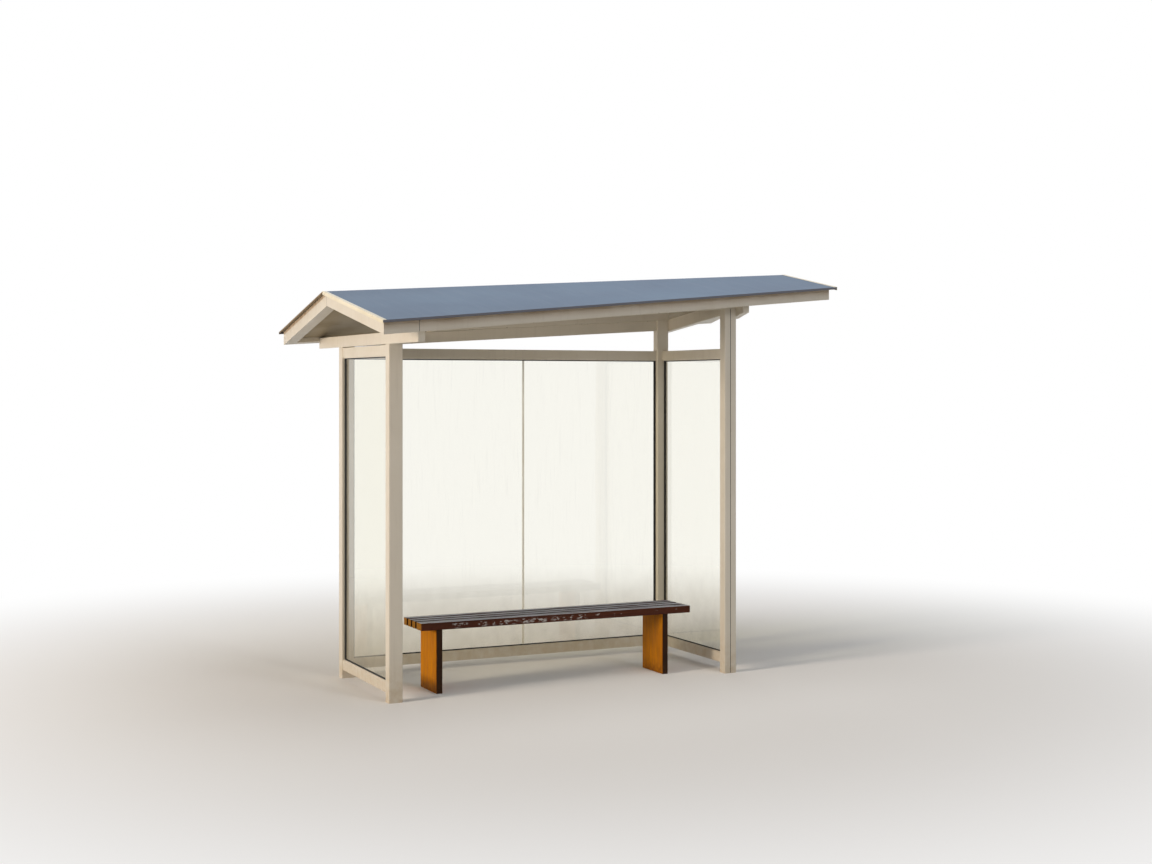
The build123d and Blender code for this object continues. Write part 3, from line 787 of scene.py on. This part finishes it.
def new_tree(name, sizes):
    """An empty tree with named inputs and their defaults."""
    tree = bpy.data.node_groups.new(name, "GeometryNodeTree")
    kinds = {float: "NodeSocketFloat", int: "NodeSocketInt", tuple: "NodeSocketVector"}
    tree.interface.new_socket("Geometry", in_out="INPUT", socket_type="NodeSocketGeometry")
    tree.interface.new_socket("Geometry", in_out="OUTPUT", socket_type="NodeSocketGeometry")
    for label, default in sizes.items():
        socket = tree.interface.new_socket(label, in_out="INPUT", socket_type=kinds[type(default)])
        socket.default_value = default
    tree.interface.new_socket("Material", in_out="INPUT", socket_type="NodeSocketMaterial")
    return tree, node(tree, "NodeGroupInput").node.outputs


def grow(name, lines, tree, sizes, replaced=(), sharp_angle=35):
    """A plain mesh grown by a tree from lines: points, edges and the way that each point faces."""
    points, edges, facings = lines
    mesh = bpy.data.meshes.new(name)
    mesh.from_pydata(points, edges, [])
    outward = mesh.attributes.new("facing", "FLOAT_VECTOR", "POINT")
    outward.data.foreach_set("vector", [part for facing_way in facings for part in facing_way])
    piece = bpy.data.objects.new(name, mesh)
    SCENE.collection.objects.link(piece)
    modifier = piece.modifiers.new("grow", "NODES")
    modifier.node_group = tree
    for socket in tree.interface.items_tree:
        if socket.in_out == "INPUT" and socket.name in sizes:
            modifier[socket.identifier] = sizes[socket.name]
    plain_mesh(piece)
    piece.data.set_sharp_from_angle(angle=math.radians(sharp_angle))
    adopt(piece, replaced)


def end_tree(tree, shape, given):
    """Closes a tree: instances made real, smooth faces and one material."""
    shape = node(tree, "GeometryNodeRealizeInstances", {"Geometry": shape})
    shape = node(tree, "GeometryNodeSetShadeSmooth", {"Geometry": shape, "Shade Smooth": True})
    shape = node(tree, "GeometryNodeSetMaterial", {"Geometry": shape, "Material": given["Material"]})
    node(tree, "NodeGroupOutput", {"Geometry": shape})
    return tree


def screw_row_tree():
    """Screws evenly spaced along lines: a washer, a head with a number of sides, a domed crown."""
    tree, given = new_tree("screw_row", {
        "Spacing": 0.3, "Washer Width": 0.014, "Washer Height": 0.0015, "Head Width": 0.009,
        "Head Height": 0.004, "Head Sides": 6, "Crown Height": 0.001, "Seed": 1})
    line = node(tree, "GeometryNodeMeshToCurve", {"Mesh": given["Geometry"]})
    line = node(tree, "GeometryNodeResampleCurve", {"Curve": line, "Length": given["Spacing"]},
                mode="LENGTH")
    halves = {}
    for label in ("Washer Width", "Washer Height", "Head Width", "Head Height"):
        halves[label] = node(tree, "ShaderNodeMath", {0: given[label], 1: 0.5}, operation="MULTIPLY")
    washer = node(tree, "GeometryNodeMeshCylinder", {
        "Vertices": 16, "Radius": halves["Washer Width"], "Depth": given["Washer Height"]})
    washer = node(tree, "GeometryNodeTransform", {
        "Geometry": washer,
        "Translation": node(tree, "ShaderNodeCombineXYZ", {"Z": halves["Washer Height"]})})
    crown_radius = node(tree, "ShaderNodeMath", {0: halves["Head Width"], 1: 0.8}, operation="MULTIPLY")
    head = node(tree, "GeometryNodeMeshCone", {
        "Vertices": given["Head Sides"], "Radius Top": crown_radius,
        "Radius Bottom": halves["Head Width"], "Depth": given["Head Height"]})
    head = node(tree, "GeometryNodeTransform", {
        "Geometry": head,
        "Translation": node(tree, "ShaderNodeCombineXYZ", {"Z": given["Washer Height"]})})
    top = node(tree, "ShaderNodeMath", {0: given["Washer Height"], 1: given["Head Height"]},
               operation="ADD")
    crown = node(tree, "GeometryNodeMeshUVSphere", {"Segments": 12, "Rings": 6, "Radius": crown_radius})
    flatness = node(tree, "ShaderNodeMath", {0: given["Crown Height"], 1: crown_radius},
                    operation="DIVIDE")
    crown = node(tree, "GeometryNodeTransform", {
        "Geometry": crown, "Translation": node(tree, "ShaderNodeCombineXYZ", {"Z": top}),
        "Scale": node(tree, "ShaderNodeCombineXYZ", {"X": 0.96, "Y": 0.96, "Z": flatness})})
    screw = tree.nodes.new("GeometryNodeJoinGeometry")
    for part in (washer, head, crown):
        tree.links.new(part, screw.inputs[0])
    outward = node(tree, "GeometryNodeInputNamedAttribute", {"Name": "facing"}, data_type="FLOAT_VECTOR")
    stand = node(tree, "FunctionNodeAlignRotationToVector", {"Vector": outward}, axis="Z")
    turn = node(tree, "FunctionNodeRandomValue", {"Max": math.tau, "Seed": given["Seed"]}, out=1,
                data_type="FLOAT")
    turn = node(tree, "FunctionNodeAxisAngleToRotation", {"Axis": UP, "Angle": turn})
    stand = node(tree, "FunctionNodeRotateRotation", {"Rotation": stand, "Rotate By": turn},
                 rotation_space="LOCAL")
    row = node(tree, "GeometryNodeInstanceOnPoints", {
        "Points": line, "Instance": screw.outputs[0], "Rotation": stand})
    return end_tree(tree, row, given)


def weld_tree():
    """A bead with close ripples along lines, half sunk into the corner that it fills."""
    tree, given = new_tree("weld_bead", {"Bead Radius": 0.003, "Ripple": 0.003, "Ripple Depth": 0.0006})
    step = node(tree, "ShaderNodeMath", {0: given["Ripple"], 1: 0.34}, operation="MULTIPLY")
    line = node(tree, "GeometryNodeMeshToCurve", {"Mesh": given["Geometry"]})
    line = node(tree, "GeometryNodeResampleCurve", {"Curve": line, "Length": step}, mode="LENGTH")
    along = node(tree, "GeometryNodeSplineParameter", out="Length")
    turns = node(tree, "ShaderNodeMath", {0: along, 1: given["Ripple"]}, operation="DIVIDE")
    turns = node(tree, "ShaderNodeMath", {0: turns, 1: math.tau}, operation="MULTIPLY")
    wave = node(tree, "ShaderNodeMath", {0: turns}, operation="SINE")
    place = node(tree, "GeometryNodeInputPosition")
    uneven = node(tree, "ShaderNodeTexNoise", {"Vector": place, "Scale": 130.0, "Detail": 1.0})
    swell = node(tree, "ShaderNodeMath", {0: wave, 1: uneven}, operation="MULTIPLY")
    swell = node(tree, "ShaderNodeMath", {0: swell, 1: given["Ripple Depth"]}, operation="MULTIPLY")
    line = node(tree, "GeometryNodeStoreNamedAttribute", {
        "Geometry": line, "Name": "swell", "Value": swell}, data_type="FLOAT", domain="POINT")
    ring = node(tree, "GeometryNodeCurvePrimitiveCircle", {
        "Resolution": 8, "Radius": given["Bead Radius"]})
    bead = node(tree, "GeometryNodeCurveToMesh", {
        "Curve": line, "Profile Curve": ring, "Fill Caps": True})
    out = node(tree, "GeometryNodeInputNamedAttribute", {"Name": "swell"}, data_type="FLOAT")
    push = node(tree, "ShaderNodeVectorMath", {0: node(tree, "GeometryNodeInputNormal"), "Scale": out},
                operation="SCALE")
    bead = node(tree, "GeometryNodeSetPosition", {"Geometry": bead, "Offset": push})
    return end_tree(tree, bead, given)


def board_tree():
    """A sawn board along X with eased and worn edges, raised grain, a cupped top and split ends.

    All of it is cut inward from the board's own box.
    """
    tree, given = new_tree("sawn_board", {
        "Length": 1.0, "Width": 0.1, "Thickness": 0.04, "Edge": 0.003, "Grain Depth": 0.0007,
        "Cup": 0.001, "Wear": 0.006, "Split Depth": 0.003, "Cuts Along": 150, "Cuts Across": 27,
        "Cuts Through": 13, "Seed": 1.0, "Turn": (0.0, 0.0, 0.0), "Place": (0.0, 0.0, 0.0)})
    crowded = 3.0    # cuts that follow each rounded edge
    block = node(tree, "GeometryNodeMeshCube", {
        "Size": (2, 2, 2), "Vertices X": given["Cuts Along"], "Vertices Y": given["Cuts Across"],
        "Vertices Z": given["Cuts Through"]})
    at = node(tree, "ShaderNodeSeparateXYZ", {0: node(tree, "GeometryNodeInputPosition")}).node.outputs
    spread, halves = {}, {}
    for axis, size, cuts in (("X", "Length", "Cuts Along"), ("Y", "Width", "Cuts Across"),
                             ("Z", "Thickness", "Cuts Through")):
        half = node(tree, "ShaderNodeMath", {0: given[size], 1: 0.5}, operation="MULTIPLY")
        core = node(tree, "ShaderNodeMath", {0: half, 1: given["Edge"]}, operation="SUBTRACT")
        last = node(tree, "ShaderNodeMath", {0: given[cuts], 1: 1.0}, operation="SUBTRACT")
        last = node(tree, "ShaderNodeMath", {0: last, 1: 0.5}, operation="MULTIPLY")
        flat_end = node(tree, "ShaderNodeMath", {0: last, 1: crowded}, operation="SUBTRACT")
        reach = node(tree, "ShaderNodeMath", {0: at[axis]}, operation="ABSOLUTE")
        reach = node(tree, "ShaderNodeMath", {0: reach, 1: last}, operation="MULTIPLY")
        flat = node(tree, "ShaderNodeMapRange", {"Value": reach, "From Max": flat_end, "To Max": core})
        edge = node(tree, "ShaderNodeMapRange", {
            "Value": reach, "From Min": flat_end, "From Max": last, "To Max": given["Edge"]})
        reach = node(tree, "ShaderNodeMath", {0: flat, 1: edge}, operation="ADD")
        side = node(tree, "ShaderNodeMath", {0: at[axis]}, operation="SIGN")
        spread[axis] = node(tree, "ShaderNodeMath", {0: reach, 1: side}, operation="MULTIPLY")
        halves[axis] = core
    raw = node(tree, "ShaderNodeCombineXYZ", spread)
    core = node(tree, "ShaderNodeCombineXYZ", halves)
    against = node(tree, "ShaderNodeVectorMath", {0: core, "Scale": -1.0}, operation="SCALE")
    inner = node(tree, "ShaderNodeVectorMath", {0: raw, 1: core}, operation="MINIMUM")
    inner = node(tree, "ShaderNodeVectorMath", {0: inner, 1: against}, operation="MAXIMUM")
    outward = node(tree, "ShaderNodeVectorMath", {0: raw, 1: inner}, operation="SUBTRACT")
    outward = node(tree, "ShaderNodeVectorMath", {0: outward}, operation="NORMALIZE")
    shell = node(tree, "ShaderNodeVectorMath", {0: outward, "Scale": given["Edge"]}, operation="SCALE")
    shell = node(tree, "ShaderNodeVectorMath", {0: inner, 1: shell}, operation="ADD")
    # each seed takes the grain from another part of the noise
    shift = node(tree, "ShaderNodeVectorMath", {0: (7.3, 3.1, 5.7), "Scale": given["Seed"]},
                 operation="SCALE")
    place = node(tree, "ShaderNodeVectorMath", {0: shell, 1: shift}, operation="ADD")
    way = node(tree, "ShaderNodeSeparateXYZ", {0: outward}).node.outputs
    along = node(tree, "ShaderNodeSeparateXYZ", {0: shell}).node.outputs

    def cloud(scale, start, end):
        scaled = node(tree, "ShaderNodeVectorMath", {0: place, 1: scale}, operation="MULTIPLY")
        value = node(tree, "ShaderNodeTexNoise", {"Vector": scaled, "Scale": 1.0, "Detail": 2.0})
        return node(tree, "ShaderNodeMapRange", {"Value": value, "From Min": start, "From Max": end})

    up = node(tree, "ShaderNodeMapRange", {"Value": way["Z"], "From Min": 0.5, "From Max": 0.95})
    flatness = node(tree, "ShaderNodeMath", {0: way["Z"]}, operation="ABSOLUTE")
    flatness = node(tree, "ShaderNodeMapRange", {"Value": flatness, "From Min": 0.5, "From Max": 0.9})
    grain = overlap(tree, cloud((2.6, 150.0, 150.0), 0.35, 0.7), given["Grain Depth"])
    off_middle = node(tree, "ShaderNodeMath", {0: along["Y"], 1: halves["Y"]}, operation="DIVIDE")
    off_middle = node(tree, "ShaderNodeMath", {0: off_middle, 1: off_middle}, operation="MULTIPLY")
    hollow = node(tree, "ShaderNodeMath", {0: 1.0, 1: off_middle}, operation="SUBTRACT", use_clamp=True)
    hollow = overlap(tree, hollow, up, given["Cup"])
    near_edge = node(tree, "ShaderNodeMath", {0: way["Z"], 1: way["Y"]}, operation="MULTIPLY")
    near_edge = node(tree, "ShaderNodeMath", {0: near_edge}, operation="ABSOLUTE")
    worn = overlap(tree, near_edge, cloud((14.0, 40.0, 40.0), 0.5, 0.75), given["Wear"])
    end = node(tree, "ShaderNodeMath", {0: along["X"]}, operation="ABSOLUTE")
    start = node(tree, "ShaderNodeMath", {0: halves["X"], 1: 0.12}, operation="SUBTRACT")
    end = node(tree, "ShaderNodeMapRange", {"Value": end, "From Min": start, "From Max": halves["X"]})
    split = overlap(tree, end, cloud((3.0, 95.0, 1.0), 0.62, 0.68), flatness, given["Split Depth"])
    depth = grain
    for layer in (hollow, worn, split):
        depth = node(tree, "ShaderNodeMath", {0: depth, 1: layer}, operation="ADD")
    cut = node(tree, "ShaderNodeVectorMath", {0: outward, "Scale": depth}, operation="SCALE")
    surface = node(tree, "ShaderNodeVectorMath", {0: shell, 1: cut}, operation="SUBTRACT")
    block = node(tree, "GeometryNodeSetPosition", {"Geometry": block, "Position": surface})
    block = node(tree, "GeometryNodeTransform", {
        "Geometry": block, "Rotation": given["Turn"], "Translation": given["Place"]})
    return end_tree(tree, block, given)


SCREW_ROW, WELD, BOARD = screw_row_tree(), weld_tree(), board_tree()
NO_LINES = ([(0, 0, 0)], [], [UP])    # a board needs its sizes only

# Bench


def board(name, suffix, upright, sizes):
    """Grows a board in the place of a bench solid."""
    low, high = (Vector(corner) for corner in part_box(name))
    size, middle = high - low, (low + high) / 2
    lengths = (size.z, size.y, size.x) if upright else (size.x, size.y, size.z)
    turn = (0.0, -math.pi / 2, 0.0) if upright else (0.0, 0.0, 0.0)
    sizes = dict(sizes, Length=lengths[0], Width=lengths[1], Thickness=lengths[2], Turn=turn,
                 Place=tuple(middle))
    grow(f"{name}_{suffix}", NO_LINES, BOARD, sizes, [name])


for number in range(1, SEAT_BOARDS + 1):
    board(f"seat_board_{number}", "slat", False, {
        "Seed": float(number), "Cuts Along": 180, "Cuts Across": 45 if number == 1 else 31,
        "Cuts Through": 19, "Material": SEAT})
for number, leg in enumerate(("left_bench_leg", "right_bench_leg"), 11):
    board(leg, "slab", True, {
        "Seed": float(number), "Edge": 0.003, "Grain Depth": 0.0004, "Cup": 0.0, "Wear": 0.004,
        "Split Depth": 0.0015, "Cuts Along": 70, "Cuts Across": 90, "Cuts Through": 19,
        "Material": LEG})

# Screws and bolts

ROW_ENDS = 0.06         # from the first and last screw of a row to the end of its edge
BESIDE_JOINT = 0.02     # from a lining joint to the screws on both sides of it
BOLTS_APART = 0.04
BOLT_TO_END = 0.03      # from a pair of bolts to the end of its beam


def screws(name, rows, spacing_mm, washer_mm, head_mm, head_sides, crown_mm, material):
    """Rows of screws, each row a start, an end and a facing; washers and heads as width and height."""
    points, edges, facings = [], [], []
    for start, end, outward in rows:
        edges.append((len(points), len(points) + 1))
        points += [tuple(start), tuple(end)]
        facings += [tuple(outward)] * 2
    grow(name, (points, edges, facings), SCREW_ROW, {
        "Spacing": spacing_mm * MM, "Washer Width": washer_mm[0] * MM,
        "Washer Height": washer_mm[1] * MM, "Head Width": head_mm[0] * MM,
        "Head Height": head_mm[1] * MM, "Head Sides": head_sides, "Crown Height": crown_mm * MM,
        "Material": material})


bench_rows = []
for leg in ("left_bench_leg", "right_bench_leg"):
    low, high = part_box(leg)
    leg_middle = (low[0] + high[0]) / 2
    for number in range(1, SEAT_BOARDS + 1):
        low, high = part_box(f"seat_board_{number}")
        aside = (high[1] - low[1]) * 0.25
        middle = (low[1] + high[1]) / 2
        sunk = high[2] - 2.5 * MM
        bench_rows.append(((leg_middle, middle - aside, sunk), (leg_middle, middle + aside, sunk), UP))
screws("bench_seat_screws", bench_rows, 1000, (10.5, 1.2), (9, 0.8), 16, 0.6, ZINC)

trim_rows = []
for name in ("left_verge_trim", "right_verge_trim"):
    outline, normal = main_face(name, UP)
    verge = LEFT if name.startswith("left") else RIGHT
    trim_rows.append(line_inside(outline, normal, verge, inset=0.014, gap=0.05))
screws("verge_trim_rivets", trim_rows, 220, (7.5, 0.5), (6, 0.4), 12, 0.8, TRIM)

lining_rows = []
for name in ("front_soffit", "back_soffit"):
    outline, normal = main_face(name, DOWN)
    for toward in (FRONT, BACK, LEFT, RIGHT):
        lining_rows.append(line_inside(outline, normal, toward, inset=0.024, gap=0.03))
    for joint in JOINTS_ACROSS:
        for beside in (joint - BESIDE_JOINT, joint + BESIDE_JOINT):
            start, end = cut_across(outline, beside)
            inset = (end - start).normalized() * ROW_ENDS
            lining_rows.append((start + inset, end - inset, normal))
screws("lining_screws", lining_rows, 280, (9, 0.6), (7, 1.2), 12, 0.8, LINING)

lip_rows, weld_points, weld_edges = [], [], []
for wall, along, inward in (("left", 1, 1), ("right", 1, -1), ("back", 0, -1)):
    across = 1 - along
    for rail, lips_up in ((f"{wall}_top_rail", False), (f"{wall}_bottom_rail", True)):
        low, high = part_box(rail)
        middle, half = (low[across] + high[across]) / 2, (high[across] - low[across]) / 2
        seat = low[2] + RAIL_HEIGHT if lips_up else high[2] - RAIL_HEIGHT
        far = low[2] if lips_up else high[2]
        screw_height = seat + LIP_MIDDLE if lips_up else seat - LIP_MIDDLE
        outward = [0, 0, 0]
        outward[across] = inward
        ends = []
        for place in (low[along] + ROW_ENDS, high[along] - ROW_ENDS):
            point = [0, 0, screw_height]
            point[across], point[along] = middle + inward * LIP_OUT, place
            ends.append(point)
        lip_rows.append((*ends, outward))
        for place in (low[along], high[along]):
            first = len(weld_points)
            for aside, height in ((-LIP_OUT - MM, seat), (-half, seat), (-half, far), (half, far),
                                  (half, seat), (LIP_OUT + MM, seat)):
                point = [0, 0, height]
                point[across], point[along] = middle + aside, place
                weld_points.append(point)
            weld_edges += [(number, number + 1) for number in range(first, first + 5)]
screws("glazing_lip_screws", lip_rows, 260, (6, 0.4), (5, 0.8), 12, 0.7, CREAM_EDGE)
grow("rail_weld_beads", (weld_points, weld_edges, [UP] * len(weld_points)), WELD, {
    "Bead Radius": 0.0028, "Material": CREAM}, sharp_angle=60)

bolt_rows = []
for beam, post in (("right_cross_beam", "back_right_post"), ("right_cross_beam", "front_right_post"),
                   ("right_outrigger", "front_right_post")):
    outline, _ = main_face(beam, RIGHT)
    low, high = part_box(post)
    beam_low, beam_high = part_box(beam)
    at = min(max((low[1] + high[1]) / 2, beam_low[1] + BOLT_TO_END), beam_high[1] - BOLT_TO_END)
    heights = []
    for start, end in sides(outline):
        if (start.y - at) * (end.y - at) < 0:
            heights.append(start.lerp(end, (at - start.y) / (end.y - start.y)).z)
    middle = sum(heights) / len(heights)
    bolt_rows.append(((beam_high[0], at, middle - BOLTS_APART / 2),
                      (beam_high[0], at, middle + BOLTS_APART / 2), RIGHT))
screws("side_beam_bolts", bolt_rows, BOLTS_APART / MM, (22, 2), (15, 6), 6, 1, CREAM_EDGE)

# a washered screw that holds the two fascia tubes together, 22 mm below the drip edge
outline, normal = main_face("front_left_fascia", FRONT)
corner = max(outline, key=lambda co: co.x + co.z)
top = corner + Vector((MM, 0, -22 * MM))
joint_row = (top, top + Vector((0, 0, -MM)), normal)
screws("fascia_joint_screw", [joint_row], 1000, (13, 1.5), (9, 3), 6, 1, ZINC)
